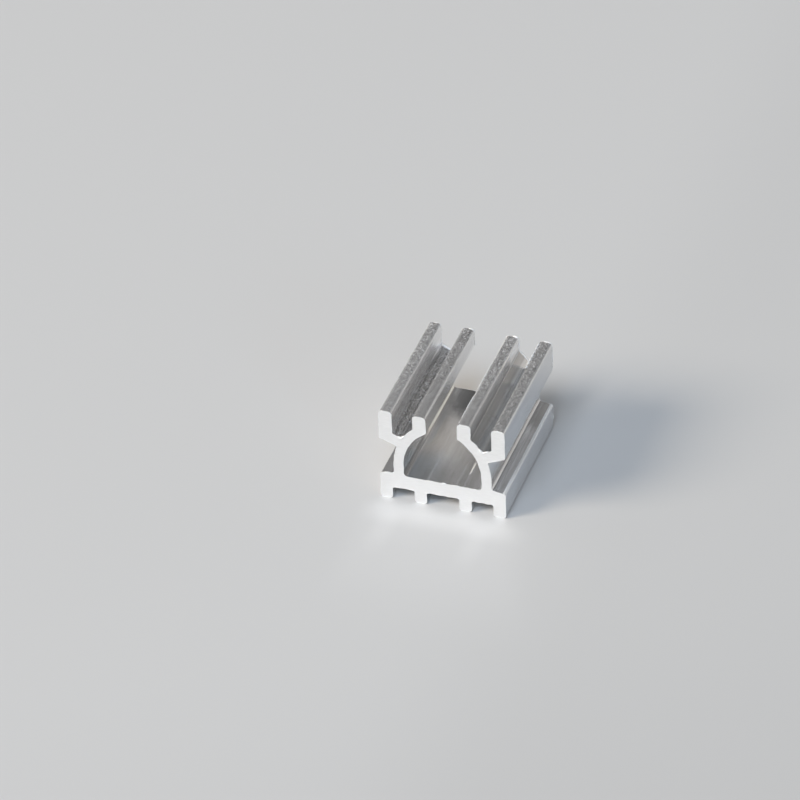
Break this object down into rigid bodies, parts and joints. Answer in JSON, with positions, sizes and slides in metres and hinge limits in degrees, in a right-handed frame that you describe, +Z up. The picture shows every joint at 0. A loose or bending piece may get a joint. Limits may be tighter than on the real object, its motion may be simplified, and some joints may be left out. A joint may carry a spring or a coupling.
{
  "type": "heat sink",
  "caption": "Small extruded aluminium heat sink: a flat channel for a power device between two arched walls that end in forked prongs, on a grooved base.",
  "frame": {"origin": "middle of the bounding box, on the plane that the four feet stand on", "axes": "+Z up from the feet to the prong tops, Y along the extrusion from one sawn end to the other, X across the section; the end seen in the picture faces -Y"},
  "size_m": [0.0166, 0.02, 0.0136],
  "materials": {
    "aluminium": "bare extruded skin with lengthwise die lines, paler matt sawn ends"
  },
  "bodies": {
    "root": {"heat_sink_body": "aluminium"}
  },
  "joints": []
}
